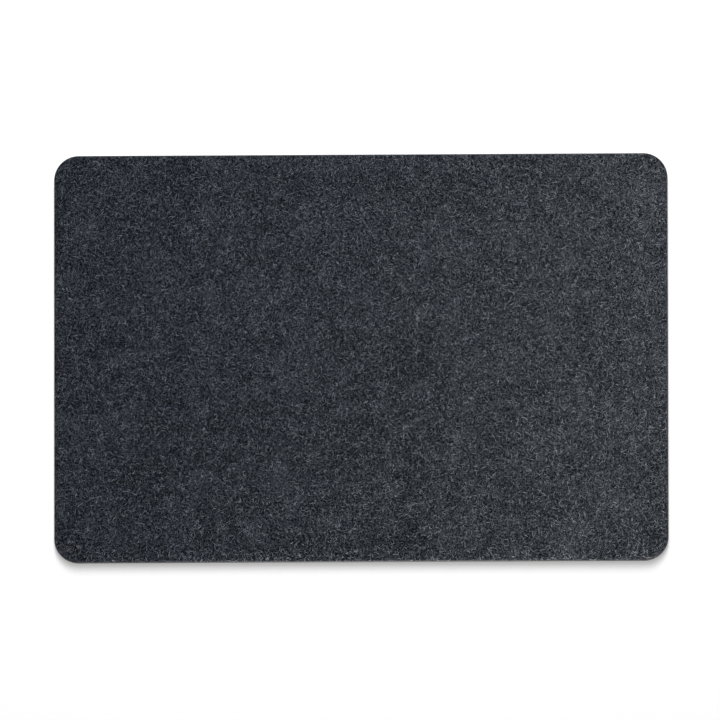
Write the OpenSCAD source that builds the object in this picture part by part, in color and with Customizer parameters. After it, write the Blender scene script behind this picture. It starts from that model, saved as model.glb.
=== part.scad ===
// Flat felt desk mat.
// A pressed felt sheet, a thin laminating film and a non-slip rubber base are bonded
// face to face and die-cut together into one flexible mat with rounded corners.
//
// The mat lies on the desk. Z = 0 is its underside and +Z is up, X runs along the
// front of the desk, +Y runs away from the user, and the origin is the middle of the
// underside. All sizes are in millimetres.

/* [Outline] */
// Length of the mat along the front of the desk
mat_length = 600; // [300:10:1200]
// Depth of the mat from its near edge to its far edge
mat_depth = 400; // [200:10:800]
// Radius of the four rounded corners
corner_radius = 24; // [8:1:80]

/* [Layers] */
// Thickness of the felt sheet on top
felt_thickness = 2.8; // [1.6:0.1:6]
// Thickness of the laminating film between felt and rubber
film_thickness = 0.2; // [0.1:0.05:0.5]
// Thickness of the non-slip rubber base
base_thickness = 2; // [1:0.1:4]

/* [Cut edge] */
// Radius of the felt's top edge, rolled over by the cutting die
felt_edge_radius = 1.5; // [0.4:0.1:1.5]
// How far the film stops short of the cut edge all round
film_inset = 0.4; // [0.1:0.1:1]
// Radius of the rubber base's bottom edge
base_edge_radius = 0.4; // [0.2:0.1:0.8]

/* [Hidden] */

// The layers stack from the desk up, each lying on the one below
film_bottom = base_thickness;
felt_bottom = film_bottom + film_thickness;

// Curves are drawn this finely in a preview
$fn = 96;

// Half the distance between the centres of the corner arcs, along X and along Y
arc_centre_x = mat_length / 2 - corner_radius;
arc_centre_y = mat_depth / 2 - corner_radius;

// Cross-section of a layer from the arc centre (x = 0) out to its cut edge (x = reach).
// The top outer edge is rounded to edge_radius.
module rounded_edge_profile(reach, thickness, edge_radius) {
    square([reach - edge_radius, thickness]);
    square([reach, thickness - edge_radius]);
    translate([reach - edge_radius, thickness - edge_radius])
        intersection() {
            circle(edge_radius);
            square(edge_radius);
        }
}

// One straight side of a layer: its profile run along +Y for the given length,
// starting at the arc centre and reaching towards +X.
module straight_side(run, reach, thickness, edge_radius) {
    rotate([90, 0, 0])
        linear_extrude(run, center = true)
            rounded_edge_profile(reach, thickness, edge_radius);
}

// One rounded corner of a layer, covering the quarter turn from +X to +Y.
module corner_quarter(reach, thickness, edge_radius) {
    rotate_extrude(angle = 90)
        rounded_edge_profile(reach, thickness, edge_radius);
}

// A rounded-rectangle sheet whose top edge is rounded all the way round.
module soft_edged_sheet(thickness, edge_radius) {
    // Field between the arc centres
    translate([-arc_centre_x, -arc_centre_y, 0])
        cube([2 * arc_centre_x, 2 * arc_centre_y, thickness]);

    // Left and right sides
    for (side = [0, 180])
        rotate(side)
            translate([arc_centre_x, 0, 0])
                straight_side(2 * arc_centre_y, corner_radius, thickness, edge_radius);

    // Far and near sides
    for (side = [90, 270])
        rotate(side)
            translate([arc_centre_y, 0, 0])
                straight_side(2 * arc_centre_x, corner_radius, thickness, edge_radius);

    // Corners, anticlockwise from the far right one
    translate([arc_centre_x, arc_centre_y, 0])
        corner_quarter(corner_radius, thickness, edge_radius);
    translate([-arc_centre_x, arc_centre_y, 0])
        rotate(90) corner_quarter(corner_radius, thickness, edge_radius);
    translate([-arc_centre_x, -arc_centre_y, 0])
        rotate(180) corner_quarter(corner_radius, thickness, edge_radius);
    translate([arc_centre_x, -arc_centre_y, 0])
        rotate(270) corner_quarter(corner_radius, thickness, edge_radius);
}

// Outline of the mat, drawn smaller by inset on every side.
module mat_outline(inset) {
    square([2 * arc_centre_x, mat_depth - 2 * inset], center = true);
    square([mat_length - 2 * inset, 2 * arc_centre_y], center = true);
    for (x = [-arc_centre_x, arc_centre_x], y = [-arc_centre_y, arc_centre_y])
        translate([x, y]) circle(corner_radius - inset);
}

// Pressed felt: the writing surface that the user sees and touches.
module felt_face() {
    color([0.21, 0.22, 0.24])
        translate([0, 0, felt_bottom])
            soft_edged_sheet(felt_thickness, felt_edge_radius);
}

// Hot-melt film that holds the felt to the rubber.
module adhesive_film() {
    color([0.72, 0.72, 0.70])
        translate([0, 0, film_bottom])
            linear_extrude(film_thickness)
                mat_outline(film_inset);
}

// Non-slip rubber that grips the desk. Its rounded edge faces down.
module rubber_base() {
    color([0.07, 0.07, 0.08])
        translate([0, 0, base_thickness])
            mirror([0, 0, 1])
                soft_edged_sheet(base_thickness, base_edge_radius);
}

felt_face();
adhesive_film();
rubber_base();
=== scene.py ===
"""Looks of the felt desk mat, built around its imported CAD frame.

The felt sheet and the rubber base become fine meshes with real surface relief, loose
fibres are laid over and along the felt, and the laminating film keeps its CAD mesh.
Lengths are in metres, in the frame of the CAD part: +X along the desk's front edge,
+Y away from the user, +Z up, with Z = 0 on the desk.
"""
import math

import bpy
import numpy as np
from mathutils import Matrix, Vector, noise


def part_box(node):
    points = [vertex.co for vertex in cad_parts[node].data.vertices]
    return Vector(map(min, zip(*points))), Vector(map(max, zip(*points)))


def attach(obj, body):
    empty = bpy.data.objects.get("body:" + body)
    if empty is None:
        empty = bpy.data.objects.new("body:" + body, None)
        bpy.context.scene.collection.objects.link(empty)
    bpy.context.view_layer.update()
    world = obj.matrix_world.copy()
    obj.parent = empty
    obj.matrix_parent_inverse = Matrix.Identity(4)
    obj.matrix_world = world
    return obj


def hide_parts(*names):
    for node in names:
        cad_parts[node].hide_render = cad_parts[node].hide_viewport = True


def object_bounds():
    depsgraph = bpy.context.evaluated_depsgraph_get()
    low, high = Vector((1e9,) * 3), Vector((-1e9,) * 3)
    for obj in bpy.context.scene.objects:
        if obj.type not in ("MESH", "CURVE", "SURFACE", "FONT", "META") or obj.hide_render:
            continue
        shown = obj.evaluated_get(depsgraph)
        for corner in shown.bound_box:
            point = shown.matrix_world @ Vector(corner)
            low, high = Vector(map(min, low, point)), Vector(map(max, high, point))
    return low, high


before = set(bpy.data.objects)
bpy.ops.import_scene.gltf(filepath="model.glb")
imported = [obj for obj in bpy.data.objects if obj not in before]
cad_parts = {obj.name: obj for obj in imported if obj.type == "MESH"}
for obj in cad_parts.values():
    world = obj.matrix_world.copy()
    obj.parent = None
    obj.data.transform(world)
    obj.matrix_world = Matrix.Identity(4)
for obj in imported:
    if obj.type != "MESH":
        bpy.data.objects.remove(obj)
cad_low, cad_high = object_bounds()

MM = 0.001

# ---------------------------------------------------------------- driving sizes
SAME_PLACE = 0.001 * MM           # places closer than this count as one

FELT_RIM_RADIUS = 1.5 * MM        # rolled-over top edge of the felt
RUBBER_RIM_RADIUS = 0.4 * MM      # softened bottom edge of the rubber
RIM_STEPS = 4                     # rings of faces round each softened edge

FELT_PITCH = 1.72 * MM            # spacing of the felt surface's vertices
FELT_RELIEF = 0.11 * MM           # height of the felt's waves above and below its mean
FELT_RELIEF_SIZES = (2.6 * MM, 7 * MM, 24 * MM)  # of the waves, small ones first
FELT_RELIEF_SHARES = (0.55, 0.30, 0.15)          # share of the relief that each size has
CUT_RAGGEDNESS = 0.10 * MM        # how far the felt's cut side wanders in from its outline
CUT_WANDER_SIZE = 1.3 * MM        # length of one such wander

GRIP_PITCH = 1.7 * MM             # half the distance from one grip stud to the next
GRIP_DEPTH = 0.4 * MM
GRIP_BORDER = 4.0 * MM            # plain band round the studs
STUD_FACET = 0.95                 # faces turned up or down by more than this stay crisp

# ---------------------------------------------------------------- fibres
RANDOM_SEED = 20
FIBRE_PIECES = 8
FIBRES_PER_PIECE = 7500
FIBRE_LENGTH = (1.4 * MM, 5.2 * MM)
FIBRE_RADIUS = (0.07 * MM, 0.15 * MM)
FIBRE_TIP = 0.35                  # radius of a fibre's ends, as a share of its middle's
FIBRE_POINTS = 5                  # points along one fibre's path
FIBRE_SIDES = 3
FIBRE_BEND = 0.45                 # spread of a fibre's even bend, in radians to each end
FIBRE_CURL = 0.35                 # spread of its S-shaped bend, in radians to each end
FIBRE_ARCH = 0.22 * MM            # how far the middle of a fibre can stand off the felt
ARCH_SHARES = (-0.25, 1.0)        # each fibre has a share of that arch; below 0 it dips in
LIFT_SHARES = (-0.3, 0.35)        # height of a fibre's ends, as a share of the felt's relief
FIBRE_MARGIN = 0.5 * MM           # fibres on top keep this far inside the cut edge
TUFT_SIZE = 11 * MM               # fibres gather in tufts of about this size
TUFT_SPREAD = 0.8                 # the smaller, the more they gather

FUZZ_COUNT = 2800
FUZZ_LENGTH = (0.35 * MM, 0.75 * MM)
FUZZ_RADIUS = (0.03 * MM, 0.06 * MM)
FUZZ_ROOT = 0.3 * MM              # how deep in the felt a fibre end starts
FUZZ_LOWEST = 0.2 * MM            # height of the lowest ones above the film
FUZZ_LEAN = 1.2                   # most that one leans along the edge, as a slope
FUZZ_DROOP = (-0.7, 0.5)          # how far it points down or up, as a slope
FUZZ_CURL = 0.6                   # most that its tip bends aside, as a share of its length

# ---------------------------------------------------------------- looks of the felt
# Lengths in this section are in millimetres. The level is the wool's brightness as a
# multiple of FELT_BASE.
FELT_BASE = 0.0142                # on a linear scale
DARK_WOOL_BLUE = 0.68             # how blue the darkest wool is
PALE_WOOL_BLUE = 0.27             # how blue the palest wool is
CUT_BLUE = 0.2                    # how blue the cut side is
RED_LOSS = 0.38                   # red lost for each part of blue gained
WOOL_GLOSS = (0.74, 0.85, 1.0, 1.0)
DARKEST_LEVEL = 0.12

# Noise of these sizes shifts the level by (noise - 0.5) times its contrast
GRAIN_SIZE, GRAIN_CONTRAST = 1.5, 7.5
TUFT_LOOK_SIZE, TUFT_CONTRAST = 3.2, 6.5
DRIFT_SIZE, DRIFT_CONTRAST = 16.0, 3.2
CLOUD_SIZE, CLOUD_CONTRAST = 60.0, 2.4

# Streaks: layers, length and width, spacing of the first layer and what each next one adds
PALE_LAYERS, PALE_STREAK, PALE_SPACING = 6, (2.3, 0.55), (2.4, 0.25)
DARK_LAYERS, DARK_STREAK, DARK_SPACING = 3, (2.4, 0.9), (2.8, 0.4)
PALE_GAIN, DARK_GAIN = 6.2, -5.9  # what a streak adds to the level
RAISED_LAYERS = 2                 # so many of the pale layers also stand up as bumps
STREAK_BOW = 0.06                 # most that a streak bows aside, 1 mm from its middle

# How far apart the patterns of neighbouring seeds lie: for noise, and in cells for streaks
NOISE_SEED_STEP = (31.7, 17.3, 5.9)
STREAK_SEED_STEP = (13.7, 7.1, 0.0)

# Where the face ends and the cut side begins, as the upward part of the surface's normal
CUT_BORDER = (0.99, 0.88)
STRAY_GRAIN = 0.45                # grain above this strays over the border
STRAY_REACH = 0.9
CUT_END_SIZE = 0.55               # width of the fibre ends seen in the cut side
CUT_END_FLATNESS = 4.0            # how much wider than high they are

# ---------------------------------------------------------------- studio and camera
WHITE = (1.0, 1.0, 1.0)
FLOOR_ALBEDO = 0.88
FLOOR_GLOW = 0.36
FLOOR_HALF_SIZE = 60.0
AMBIENT = 0.10                    # strength of the sky on the mat and the floor
BACKDROP = 1.2                    # strength of the sky where the camera sees it

ARC_RADIUS = 5.0                  # softboxes stand on an arc behind and above the mat
ARC_WIDTH = 1.5
ARC_LOWEST = 17.0                 # degrees above the table
ARC_POWERS = (218.0, 87.0, 21.0, 9.6)  # lowest softbox first

# Two warm lights that touch only the mat
RIGHT_STRIP = {
    "location": (0.36, 0.0, 0.40),
    "target": (0.36, 0.0, 0.0),
    "size": (0.15, 1.6),
    "power": 4.1,
    "colour": (1.0, 0.935, 0.70),
}
NEAR_FILL = {
    "location": (0.03, -0.56, 0.018),
    "target": (0.03, -0.2, 0.004),
    "size": (0.3, 0.02),
    "power": 7.0,
    "colour": (1.0, 0.92, 0.77),
}

LENS = 1200.0                     # long lens, so that the mat's sides stay parallel
FRAME_WIDTH = 0.7034              # width that the picture covers at the mat
CAMERA_TILT = 6.1                 # degrees from straight down
CAMERA_TURN = 18.6                # degrees to the right of the near side that it tilts towards
CAMERA_ROLL = 0.29                # degrees
AIM = (-0.99 * MM, -1.78 * MM)    # where the camera points, right and up of the mat's middle


# ---------------------------------------------------------------- outline of the mat
def corner_radius_of(node):
    """Radius of a CAD sheet's corners, read off where its far side stops being straight."""
    vertices = np.array([v.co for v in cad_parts[node].data.vertices])
    far_side = vertices[vertices[:, 1] > vertices[:, 1].max() - SAME_PLACE]
    return float(vertices[:, 0].max() - far_side[:, 0].max())


HALF_SIZE = np.array([cad_high.x - cad_low.x, cad_high.y - cad_low.y]) / 2
CORNER_RADIUS = corner_radius_of("adhesive_film") + (
    cad_high.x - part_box("adhesive_film")[1].x
)


def beyond_arc_centres(points, half, radius):
    """How far each point lies beyond the straight part of the sides, along X and along Y."""
    return np.maximum(np.abs(points) - (half - radius), 0.0)


def distance_outside(points, half, radius):
    """Signed distance from a rounded rectangle's outline: negative inside, positive outside."""
    from_centres = np.abs(points) - (half - radius)
    outside = np.linalg.norm(np.maximum(from_centres, 0.0), axis=1)
    inside = np.minimum(from_centres.max(axis=1), 0.0)
    return outside + inside - radius


def round_corners(points, half, radius):
    """Moves points of a plain rectangle so that its corner squares become quarter discs."""
    local = beyond_arc_centres(points, half, radius)
    crosswise = local[:, ::-1] / radius
    straight = np.minimum(np.abs(points), half - radius)
    return np.sign(points) * (straight + local * np.sqrt(1 - crosswise**2 / 2))


def outward_normals(points, half, radius):
    """Unit vectors in the plane, pointing out of the outline at points that lie on it."""
    local = beyond_arc_centres(points, half, radius)
    return np.sign(points) * local / np.linalg.norm(local, axis=1)[:, None]


# ---------------------------------------------------------------- meshes
def mesh_object(name, vertices, faces, material, smooth=True):
    """A new object in the scene, made of one mesh with one material."""
    mesh = bpy.data.meshes.new(name)
    mesh.from_pydata(np.asarray(vertices).tolist(), [], faces)
    mesh.validate()
    mesh.polygons.foreach_set("use_smooth", [smooth] * len(mesh.polygons))
    mesh.materials.append(material)
    mesh.update()
    piece = bpy.data.objects.new(name, mesh)
    bpy.context.scene.collection.objects.link(piece)
    return piece


def grid_spacing(half, pitch):
    """Distance between a grid's vertices along X and along Y: the pitch, adjusted to fit."""
    return 2 * half / np.round(2 * half / pitch)


def grid_faces(columns, rows):
    """Triangles of a grid whose vertices run along X first, then row by row along Y.

    Each square is split by the diagonal that meets a vertex of even column and even row.
    """
    row, column = np.mgrid[0:rows - 1, 0:columns - 1]
    first = row * columns + column
    squares = np.stack([first, first + 1, first + columns + 1, first + columns], axis=-1)
    turned = np.roll(squares, -1, axis=-1)
    squares = np.where((row + column)[:, :, None] % 2 == 0, squares, turned)
    return squares[:, :, [0, 1, 2, 0, 2, 3]].reshape(-1, 3).tolist()


def grid_rim(columns, rows):
    """Indices of a grid's outer vertices, anticlockwise from its lowest corner."""
    near = np.arange(columns - 1)
    right = np.arange(rows - 1) * columns + columns - 1
    far = (rows - 1) * columns + np.arange(columns - 1, 0, -1)
    left = np.arange(rows - 1, 0, -1) * columns
    return np.concatenate([near, right, far, left])


def rim_profile(radius, depth):
    """Steps out and down from the edge of the flat face, over the rim to the sheet's back."""
    turns = np.linspace(0, math.pi / 2, RIM_STEPS + 1)[1:]
    rounded = [(radius * math.sin(t), radius * (1 - math.cos(t))) for t in turns]
    middle = (radius + depth) / 2
    return rounded + [(radius, middle), (radius, depth)]


def sheet(name, pitch, rim_radius, depth, relief, raggedness, material):
    """A closed rounded-rectangle sheet, its worked face up at Z = 0 and its back at -depth.

    relief(points) gives the height of the face at each point of the grid that it is made
    from, as it is before the corners are rounded.
    """
    half = HALF_SIZE - rim_radius
    radius = CORNER_RADIUS - rim_radius
    columns, rows = np.round(2 * half / grid_spacing(half, pitch)).astype(int) + 1
    across, along = np.meshgrid(
        np.linspace(-half[0], half[0], columns), np.linspace(-half[1], half[1], rows)
    )
    grid = np.stack([across.ravel(), along.ravel()], axis=1)
    flat = round_corners(grid, half, radius)
    heights = relief(grid)
    vertices = [np.column_stack([flat, heights])]
    faces = grid_faces(columns, rows)

    ring = grid_rim(columns, rows)
    edge = flat[ring]
    normals = outward_normals(edge, half, radius)
    rim_height = heights[ring]
    for out, down in rim_profile(rim_radius, depth):
        rim_share = max(0.0, 1 - down / rim_radius)
        ring_places = np.column_stack([edge, np.full(len(edge), down)])
        wander = raggedness * ripple(ring_places, CUT_WANDER_SIZE)
        wander = np.minimum(wander, 0.0) * min(1.0, down / rim_radius)
        place = edge + normals * (out + wander)[:, None]
        vertices.append(np.column_stack([place, rim_height * rim_share - down]))
        start = sum(len(v) for v in vertices[:-1])
        next_ring = np.arange(start, start + len(ring))
        quads = [ring, next_ring, np.roll(next_ring, -1), np.roll(ring, -1)]
        faces += np.stack(quads, axis=1).tolist()
        ring = next_ring
    faces.append(ring[::-1].tolist())
    return mesh_object(name, np.concatenate(vertices), faces, material)


def ripple(points, size):
    """Smooth noise from about -1 to 1, with bumps of the given size."""
    return np.array([noise.noise(Vector(p) / size) for p in points.tolist()])


def felt_relief(points):
    """Soft, uneven waves of pressed felt."""
    lifted = np.column_stack([points, np.zeros(len(points))])
    waves = zip(FELT_RELIEF_SIZES, FELT_RELIEF_SHARES)
    return FELT_RELIEF * sum(share * ripple(lifted, size) for size, share in waves)


def grip_relief(points):
    """Moulded pyramid studs inside a plain border, their tips level with it at Z = 0."""
    half = HALF_SIZE - RUBBER_RIM_RADIUS
    steps = np.round((points + half) / grid_spacing(half, GRIP_PITCH))
    tips = (steps % 2 == 0).all(axis=1)
    border = (half - np.abs(points)).min(axis=1) < GRIP_BORDER
    return np.where(tips | border, 0.0, -GRIP_DEPTH)


def tubes(paths, radii):
    """Vertices and faces of closed, pointed tubes along paths[tube, point] of the given radii."""
    count, points = paths.shape[:2]
    along = np.gradient(paths, axis=1)
    along /= np.linalg.norm(along, axis=2, keepdims=True)
    side = np.cross(along, (0.0, 0.0, 1.0))
    side /= np.maximum(np.linalg.norm(side, axis=2, keepdims=True), 1e-9)
    up = np.cross(side, along)
    turns = np.arange(FIBRE_SIDES) * 2 * math.pi / FIBRE_SIDES + math.pi / 2
    taper = np.full(points, 1.0)
    taper[[0, -1]] = FIBRE_TIP
    reach = (radii[:, None] * taper)[:, :, None, None]
    ring = (
        np.cos(turns)[:, None] * side[:, :, None, :] + np.sin(turns)[:, None] * up[:, :, None, :]
    )
    vertices = (paths[:, :, None, :] + ring * reach).reshape(-1, 3)

    here = np.arange(FIBRE_SIDES)
    turned = np.roll(here, -1)
    rings = np.arange(points - 1)[:, None] * FIBRE_SIDES
    walls = np.stack(
        [rings + here, rings + here + FIBRE_SIDES, rings + turned + FIBRE_SIDES, rings + turned],
        axis=2,
    ).reshape(-1, 4)
    starts = np.arange(count)[:, None, None] * points * FIBRE_SIDES
    last_ring = (points - 1) * FIBRE_SIDES
    faces = (starts + walls).reshape(-1, 4).tolist()
    faces += (starts[:, :, 0] + here).tolist()
    faces += (starts[:, :, 0] + last_ring + here[::-1]).tolist()
    return vertices, faces


def lying_fibres(random, count, surface):
    """Paths of curved fibres lying on the felt, drawn anew until enough fit inside its edge."""
    kept = []
    found = 0
    while found < count:
        length = random.uniform(*FIBRE_LENGTH, count)
        heading = random.uniform(0, 2 * math.pi, count)
        bend = random.normal(0, FIBRE_BEND, count)
        curl = random.normal(0, FIBRE_CURL, count)
        step = np.linspace(-1, 1, FIBRE_POINTS)
        direction = heading[:, None] + bend[:, None] * step + curl[:, None] * step**2
        stride = (length / (FIBRE_POINTS - 1))[:, None]
        path = np.stack([np.cos(direction), np.sin(direction)], axis=2) * stride[:, :, None]
        path = np.cumsum(path, axis=1)
        path -= path.mean(axis=1, keepdims=True)
        middle = random.uniform(-HALF_SIZE, HALF_SIZE, (count, 2))
        path += middle[:, None, :]
        arch = random.uniform(*ARCH_SHARES, count)[:, None] * FIBRE_ARCH
        lift = random.uniform(*LIFT_SHARES, count)[:, None] * FELT_RELIEF
        height = surface + lift + arch * np.cos(step * math.pi / 2)
        gap = distance_outside(path.reshape(-1, 2), HALF_SIZE, CORNER_RADIUS)
        fits = gap.reshape(count, FIBRE_POINTS).max(axis=1) < -FIBRE_MARGIN
        thick = ripple(np.column_stack([middle, np.zeros(count)]), TUFT_SIZE)
        fits &= random.uniform(-TUFT_SPREAD, TUFT_SPREAD, count) < thick
        kept.append(np.concatenate([path, height[:, :, None]], axis=2)[fits])
        found += int(fits.sum())
    return np.concatenate(kept)[:count]


def edge_fuzz(random, count, low, high):
    """Paths of short fibre ends that stick out of the felt's cut side."""
    inner = HALF_SIZE - CORNER_RADIUS
    arc = CORNER_RADIUS * math.pi / 2
    sides = np.array([2 * inner[0], arc, 2 * inner[1], arc] * 2)
    place = random.uniform(0, sides.sum(), count)
    starts = np.concatenate([[0.0], np.cumsum(sides)])
    index = np.searchsorted(starts, place, side="right") - 1
    share = (place - starts[index]) / sides[index]
    # Eight stretches, anticlockwise from the near side: straight, corner, straight, corner ...
    quarter = index // 2
    turn = quarter * math.pi / 2 - math.pi / 2
    turn = turn + np.where(index % 2 == 1, share * math.pi / 2, 0.0)
    normal = np.stack([np.cos(turn), np.sin(turn)], axis=1)
    tangent = np.stack([-normal[:, 1], normal[:, 0]], axis=1)
    corners = np.array([[1, -1], [1, 1], [-1, 1], [-1, -1]]) * inner
    half_run = np.where(index % 2 == 0, (share - 1) * sides[index], 0.0)
    on_edge = corners[quarter] + normal * CORNER_RADIUS + tangent * half_run[:, None]

    length = random.uniform(*FUZZ_LENGTH, count)[:, None, None]
    lean = random.uniform(-FUZZ_LEAN, FUZZ_LEAN, count)
    droop = random.uniform(*FUZZ_DROOP, count)
    step = np.linspace(0, 1, FIBRE_POINTS)
    out = np.concatenate([normal + tangent * lean[:, None], droop[:, None]], axis=1)
    out /= np.linalg.norm(out, axis=1)[:, None]
    curl = np.concatenate([tangent, np.zeros((count, 1))], axis=1)
    curl *= random.uniform(-FUZZ_CURL, FUZZ_CURL, count)[:, None]
    base = np.column_stack([on_edge - normal * FUZZ_ROOT, random.uniform(low, high, count)])
    bow = curl[:, None, :] * (step**2)[None, :, None]
    return base[:, None, :] + length * (out[:, None, :] * step[None, :, None] + bow)


# ---------------------------------------------------------------- materials
class Graph:
    """One material's nodes, with short calls for the kinds that this script uses."""

    def __init__(self, name):
        self.material = bpy.data.materials.new(name)
        self.material.use_nodes = True
        self.tree = self.material.node_tree
        self.shader = self.tree.nodes["Principled BSDF"]
        coordinates = self.node("ShaderNodeTexCoord").outputs["Object"]
        self.place = self.scale(coordinates, 1 / MM)  # in millimetres

    def put(self, socket, value):
        """Links another node's output to a socket, or sets the socket to a plain value."""
        if isinstance(value, bpy.types.NodeSocket):
            self.tree.links.new(value, socket)
        else:
            socket.default_value = value

    def node(self, kind, inputs=(), **settings):
        """A new node with the given inputs and settings."""
        made = self.tree.nodes.new(kind)
        for setting, value in settings.items():
            setattr(made, setting, value)
        for socket, value in dict(inputs).items():
            self.put(made.inputs[socket], value)
        return made

    def math(self, operation, a, b=0.0, c=0.0):
        return self.node("ShaderNodeMath", {0: a, 1: b, 2: c}, operation=operation).outputs[0]

    def vector(self, operation, a, b):
        return self.node("ShaderNodeVectorMath", {0: a, 1: b}, operation=operation).outputs[0]

    def scale(self, vector, factor):
        inputs = {0: vector, "Scale": factor}
        return self.node("ShaderNodeVectorMath", inputs, operation="SCALE").outputs[0]

    def smooth(self, value, low, high, to_low=0.0, to_high=1.0):
        """An S-shaped step from to_low to to_high as value goes from low to high."""
        inputs = {
            "Value": value,
            "From Min": low,
            "From Max": high,
            "To Min": to_low,
            "To Max": to_high,
        }
        made = self.node("ShaderNodeMapRange", inputs, interpolation_type="SMOOTHSTEP")
        return made.outputs["Result"]

    def noise(self, size, detail=1.0, seed=0.0, place=None):
        """Noise from 0 to 1 with features of the given size in millimetres."""
        moved = self.vector("ADD", place or self.place, [seed * step for step in NOISE_SEED_STEP])
        inputs = {"Vector": moved, "Scale": 1 / size, "Detail": detail, "Roughness": 0.55}
        return self.node("ShaderNodeTexNoise", inputs).outputs["Fac"]

    def mix(self, share, a, b):
        """A colour that goes from a to b as share goes from 0 to 1."""
        made = self.node("ShaderNodeMix", data_type="RGBA")
        for socket, value in zip([0, 6, 7], [share, a, b]):  # factor and the two colours
            self.put(made.inputs[socket], value)
        return made.outputs[2]

    def bump(self, height, depth, strength=1.0):
        """Surface bump whose height runs from 0 to 1 over the given depth in metres."""
        inputs = {"Height": height, "Distance": depth, "Strength": strength}
        return self.node("ShaderNodeBump", inputs).outputs["Normal"]

    def finish(self, **inputs):
        """Fills in the shader's inputs, named with _ for a space, and gives the material."""
        for name, value in inputs.items():
            self.put(self.shader.inputs[name.replace("_", " ")], value)
        return self.material


def grey(value, blue=0.0):
    """A neutral or slightly blue grey of the given linear brightness."""
    return (value * (1 - RED_LOSS * blue), value, value * (1 + blue), 1.0)


def streaks(graph, seed, cell, length, width):
    """Short curved strokes in random directions, one to each cell. All lengths in millimetres."""
    shift = [seed * step for step in STREAK_SEED_STEP]
    shifted = graph.vector("ADD", graph.scale(graph.place, 1 / cell), shift)
    inputs = {"Vector": shifted, "Scale": 1.0, "Randomness": 1.0}
    cells = graph.node("ShaderNodeTexVoronoi", inputs, voronoi_dimensions="2D")
    draw = graph.node("ShaderNodeSeparateColor", {"Color": cells.outputs["Color"]}).outputs
    local = graph.vector("SUBTRACT", shifted, cells.outputs["Position"])
    local = graph.scale(local, cell)
    angle = graph.math("MULTIPLY", draw["Red"], 2 * math.pi)
    inputs = {"Vector": local, "Angle": angle}
    turned = graph.node("ShaderNodeVectorRotate", inputs, rotation_type="Z_AXIS").outputs[0]
    along, across, _ = graph.node("ShaderNodeSeparateXYZ", {"Vector": turned}).outputs
    bow = graph.math("MULTIPLY", graph.math("SUBTRACT", draw["Green"], 0.5), STREAK_BOW * 2)
    bent = graph.math("MULTIPLY_ADD", graph.math("MULTIPLY", along, along), bow, across)
    near_line = graph.smooth(graph.math("ABSOLUTE", bent), width / 2, 0.0)
    within = graph.smooth(graph.math("ABSOLUTE", along), length / 2, length / 4)
    stroke = graph.math("MULTIPLY", near_line, within)
    strength = graph.smooth(draw["Blue"], 0.0, 1.0, to_low=0.25)
    return graph.math("MULTIPLY", stroke, strength)


def streak_layers(graph, layers, first_seed, spacing, size):
    """Several layers of streaks, each on wider cells than the one before."""
    first_cell, widening = spacing
    return [
        streaks(graph, first_seed + layer, first_cell + widening * layer, *size)
        for layer in range(layers)
    ]


def total(graph, values):
    """The sum of several values."""
    result = values[0]
    for value in values[1:]:
        result = graph.math("ADD", result, value)
    return result


def turned_to_cut_side(graph, grain):
    """0 on the felt's face and 1 on its cut side, with an uneven border along the grain."""
    normal = graph.node("ShaderNodeNewGeometry").outputs["Normal"]
    facing_up = graph.node("ShaderNodeSeparateXYZ", {"Vector": normal}).outputs["Z"]
    strays = graph.math("MAXIMUM", graph.math("SUBTRACT", grain, STRAY_GRAIN), 0.0)
    return graph.smooth(graph.math("MULTIPLY_ADD", strays, STRAY_REACH, facing_up), *CUT_BORDER)


def felt_material():
    """Heathered charcoal felt: dark wool crossed by paler fibres, bluest where it is darkest."""
    graph = Graph("felt_heather")
    pale_layers = streak_layers(graph, PALE_LAYERS, 1, PALE_SPACING, PALE_STREAK)
    dark_layers = streak_layers(graph, DARK_LAYERS, 21, DARK_SPACING, DARK_STREAK)
    grain = graph.noise(GRAIN_SIZE, detail=3.0, seed=3)
    unevenness = [
        (grain, GRAIN_CONTRAST),
        (graph.noise(TUFT_LOOK_SIZE, detail=2.0, seed=5), TUFT_CONTRAST),
        (graph.noise(DRIFT_SIZE, detail=2.0, seed=7), DRIFT_CONTRAST),
        (graph.noise(CLOUD_SIZE, detail=2.0, seed=9), CLOUD_CONTRAST),
    ]

    level = 1.0
    for value, contrast in unevenness:
        level = graph.math("MULTIPLY_ADD", graph.math("SUBTRACT", value, 0.5), contrast, level)
    level = graph.math("MULTIPLY_ADD", total(graph, pale_layers), PALE_GAIN, level)
    level = graph.math("MULTIPLY_ADD", total(graph, dark_layers), DARK_GAIN, level)
    level = graph.math("MAXIMUM", level, DARKEST_LEVEL)
    paleness = graph.smooth(level, 0.2, 3.0)
    hue = graph.mix(paleness, grey(FELT_BASE, DARK_WOOL_BLUE), grey(FELT_BASE, PALE_WOOL_BLUE))
    face_colour = graph.scale(hue, level)

    cut_side = turned_to_cut_side(graph, grain)
    laid_flat = graph.vector("MULTIPLY", graph.place, (1.0, 1.0, CUT_END_FLATNESS))
    cut_ends = graph.noise(CUT_END_SIZE, detail=4.0, seed=11, place=laid_flat)
    cut_ends = graph.smooth(cut_ends, 0.25, 0.8)
    cut_colour = graph.mix(cut_ends, grey(0.018, CUT_BLUE), grey(0.085, CUT_BLUE))

    raised = total(graph, pale_layers[:RAISED_LAYERS])
    height = graph.math("MULTIPLY_ADD", raised, 0.7, graph.math("MULTIPLY", grain, 0.8))
    height = graph.math("MULTIPLY_ADD", graph.math("SUBTRACT", cut_ends, height), cut_side, height)
    return graph.finish(
        Base_Color=graph.mix(cut_side, face_colour, cut_colour),
        Roughness=graph.smooth(grain, 0.2, 0.8, to_low=0.82, to_high=0.98),
        Normal=graph.bump(height, depth=0.22 * MM, strength=0.8),
        Sheen_Weight=0.02,
        Sheen_Roughness=0.5,
        Specular_IOR_Level=0.115,
        Specular_Tint=WOOL_GLOSS,
    )


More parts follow.
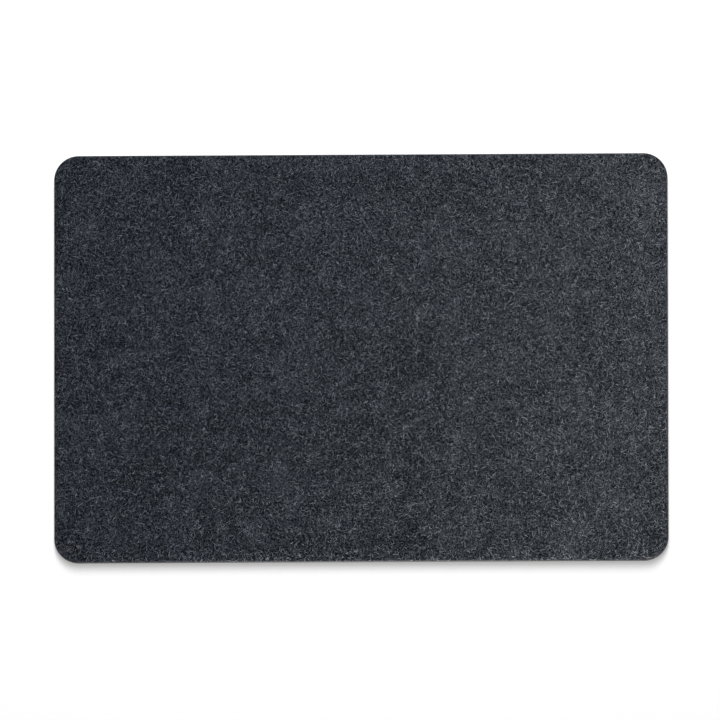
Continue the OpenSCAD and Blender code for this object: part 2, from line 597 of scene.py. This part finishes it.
def fibre_material():
    """Single fibres, from near black to pale grey, with no two alike."""
    graph = Graph("felt_fibre")
    draw = graph.node("ShaderNodeNewGeometry").outputs["Random Per Island"]
    shade = graph.math("POWER", graph.smooth(draw, 0.25, 1.0), 2.1)  # most fibres are dark
    colour = graph.mix(shade, grey(0.003, 0.6), grey(0.43, 0.23))
    along = graph.noise(0.8, detail=1.0, seed=2)
    worn = graph.smooth(along, 0.3, 0.7, to_low=0.75, to_high=1.15)
    return graph.finish(
        Base_Color=graph.scale(colour, worn),
        Roughness=graph.smooth(along, 0.2, 0.8, to_low=0.6, to_high=0.8),
        Normal=graph.bump(graph.noise(0.12, seed=4), depth=0.01 * MM),
        Specular_IOR_Level=0.17,
        Specular_Tint=WOOL_GLOSS,
    )


def rubber_material():
    """Fine-celled black rubber with a dusty bloom."""
    graph = Graph("cellular_rubber")
    cells = graph.noise(0.35, detail=2.0, seed=1)
    bloom = graph.noise(9.0, detail=3.0, seed=2)
    skin = graph.mix(graph.smooth(bloom, 0.3, 0.7), grey(0.006, 0.1), grey(0.011, 0.1))
    pores = graph.smooth(cells, 0.62, 0.75)
    return graph.finish(
        Base_Color=graph.mix(pores, skin, grey(0.002)),
        Roughness=graph.smooth(bloom, 0.3, 0.7, to_low=0.72, to_high=0.88),
        Normal=graph.bump(cells, depth=0.06 * MM, strength=0.7),
        Specular_IOR_Level=0.15,
    )


def film_material():
    """Milky hot-melt film, a little uneven where it was pressed."""
    graph = Graph("hot_melt_film")
    flow = graph.noise(2.5, detail=2.0, seed=1)
    return graph.finish(
        Base_Color=graph.mix(flow, grey(0.06), grey(0.12)),
        Roughness=graph.smooth(flow, 0.3, 0.7, to_low=0.35, to_high=0.55),
        Normal=graph.bump(flow, depth=0.03 * MM),
    )


def floor_material():
    """Pale studio table, lit softly from within so that it stays white round the mat."""
    graph = Graph("pale_floor")
    grain = graph.noise(40.0, detail=2.0)
    return graph.finish(
        Base_Color=graph.mix(grain, grey(FLOOR_ALBEDO), grey(FLOOR_ALBEDO + 0.01)),
        Roughness=0.6,
        Specular_IOR_Level=0.0,
        Emission_Color=(*WHITE, 1.0),
        Emission_Strength=FLOOR_GLOW,
    )


# ---------------------------------------------------------------- the mat
def build_felt():
    """The felt sheet, face up on top of the film."""
    low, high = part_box("felt_face")
    top = high.z - FELT_RELIEF
    felt = sheet(
        "felt_sheet", FELT_PITCH, FELT_RIM_RADIUS, top - low.z,
        felt_relief, CUT_RAGGEDNESS, felt_material(),
    )
    felt.data.transform(Matrix.Translation((0, 0, top)))
    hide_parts("felt_face")
    return felt


def build_rubber():
    """The rubber base, its moulded grip pattern facing the desk."""
    low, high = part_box("rubber_base")
    rubber = sheet(
        "rubber_sheet", GRIP_PITCH, RUBBER_RIM_RADIUS, high.z - low.z,
        grip_relief, 0.0, rubber_material(),
    )
    rubber.data.transform(Matrix.Scale(-1, 4, (0, 0, 1)))  # worked face down
    rubber.data.flip_normals()
    upright = [abs(face.normal.z) < STUD_FACET for face in rubber.data.polygons]
    rubber.data.polygons.foreach_set("use_smooth", upright)
    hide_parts("rubber_base")
    return rubber


def build_film():
    """The laminating film: the CAD mesh with a material of its own."""
    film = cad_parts["adhesive_film"]
    film.data.materials.clear()
    film.data.materials.append(film_material())
    return film


def build_fibres():
    """Loose fibres on the face of the felt, and fibre ends along its cut side."""
    low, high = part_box("felt_face")
    random = np.random.default_rng(RANDOM_SEED)
    material = fibre_material()
    pieces = []
    for number in range(1, FIBRE_PIECES + 1):
        paths = lying_fibres(random, FIBRES_PER_PIECE, high.z - FELT_RELIEF)
        radii = random.uniform(*FIBRE_RADIUS, len(paths))
        pieces.append(mesh_object(f"felt_fibres_{number}", *tubes(paths, radii), material))
    paths = edge_fuzz(random, FUZZ_COUNT, low.z + FUZZ_LOWEST, high.z - FELT_RIM_RADIUS)
    radii = random.uniform(*FUZZ_RADIUS, len(paths))
    pieces.append(mesh_object("felt_edge_fuzz", *tubes(paths, radii), material))
    return pieces


# ---------------------------------------------------------------- the studio
def area_light(name, location, target, size, power, colour=WHITE):
    """A rectangular lamp that points at its target and that the camera cannot see."""
    light = bpy.data.lights.new(name, "AREA")
    light.shape = "RECTANGLE"
    light.size, light.size_y = size
    light.energy = power
    light.color = colour
    lamp = bpy.data.objects.new(name, light)
    lamp.location = location
    lamp.rotation_euler = (Vector(target) - Vector(location)).to_track_quat("-Z", "Y").to_euler()
    lamp.visible_camera = False
    bpy.context.scene.collection.objects.link(lamp)
    return lamp


def build_world():
    """Even soft light from all round, over a white backdrop."""
    world = bpy.data.worlds.new("studio")
    world.use_nodes = True
    bpy.context.scene.world = world
    nodes, links = world.node_tree.nodes, world.node_tree.links
    camera_ray = nodes.new("ShaderNodeLightPath").outputs["Is Camera Ray"]
    strength = nodes.new("ShaderNodeMapRange")
    strength.inputs["To Min"].default_value = AMBIENT
    strength.inputs["To Max"].default_value = BACKDROP
    links.new(camera_ray, strength.inputs["Value"])
    backdrop = nodes["Background"]
    backdrop.inputs["Color"].default_value = (*WHITE, 1.0)
    links.new(strength.outputs["Result"], backdrop.inputs["Strength"])


def build_floor():
    """The wide table that the mat lies on."""
    size = FLOOR_HALF_SIZE
    corners = [(-size, -size, 0), (size, -size, 0), (size, size, 0), (-size, size, 0)]
    floor = mesh_object("floor", corners, [(0, 1, 2, 3)], floor_material(), smooth=False)


def build_lights(centre, mat_pieces):
    """Softboxes behind the mat light the whole table. Two smaller lights touch only the mat."""
    step = math.radians(90 - ARC_LOWEST) / len(ARC_POWERS)
    for number, power in enumerate(ARC_POWERS):
        angle = math.radians(ARC_LOWEST) + step * (number + 0.5)
        place = Vector((0.0, math.cos(angle), math.sin(angle))) * ARC_RADIUS
        area_light(f"arc_{number + 1}", place, centre, (ARC_WIDTH, ARC_RADIUS * step), power)
    mat_only = bpy.data.collections.new("mat_only")
    for piece in mat_pieces:
        mat_only.objects.link(piece)
    for name, settings in (("right_strip", RIGHT_STRIP), ("near_fill", NEAR_FILL)):
        lamp = area_light(name, **settings)
        lamp.light_linking.receiver_collection = mat_only


def build_camera(centre):
    """Almost straight above the mat, tilted a little so that its near edge just shows."""
    camera = bpy.data.cameras.new("camera")
    camera.lens = LENS
    distance = LENS / camera.sensor_width * FRAME_WIDTH
    camera.clip_end = 2 * distance
    tilt = math.radians(CAMERA_TILT)
    turn = math.radians(CAMERA_TURN)
    towards = Vector((math.sin(turn), -math.cos(turn), 0.0))
    back = towards * math.sin(tilt) + Vector((0.0, 0.0, math.cos(tilt)))
    up = back.cross(Vector((1.0, 0.0, 0.0))).normalized()
    right = up.cross(back)
    aim = centre + right * AIM[0] + up * AIM[1]
    upright = Matrix((right, up, back)).transposed()
    rolled = upright @ Matrix.Rotation(math.radians(-CAMERA_ROLL), 3, "Z")
    viewer = bpy.data.objects.new("camera", camera)
    viewer.matrix_world = Matrix.Translation(aim + back * distance) @ rolled.to_4x4()
    bpy.context.scene.collection.objects.link(viewer)
    bpy.context.scene.camera = viewer


def main():
    """Builds the mat, then the studio round it."""
    felt = build_felt()
    fibres = build_fibres()
    rubber = build_rubber()
    film = build_film()
    for piece in [felt, rubber, *fibres]:
        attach(piece, "root")

    centre = (cad_low + cad_high) / 2
    build_world()
    build_floor()
    build_lights(centre, [felt, rubber, film, *fibres])
    build_camera(centre)
    bpy.context.scene.view_settings.view_transform = "Standard"


main()
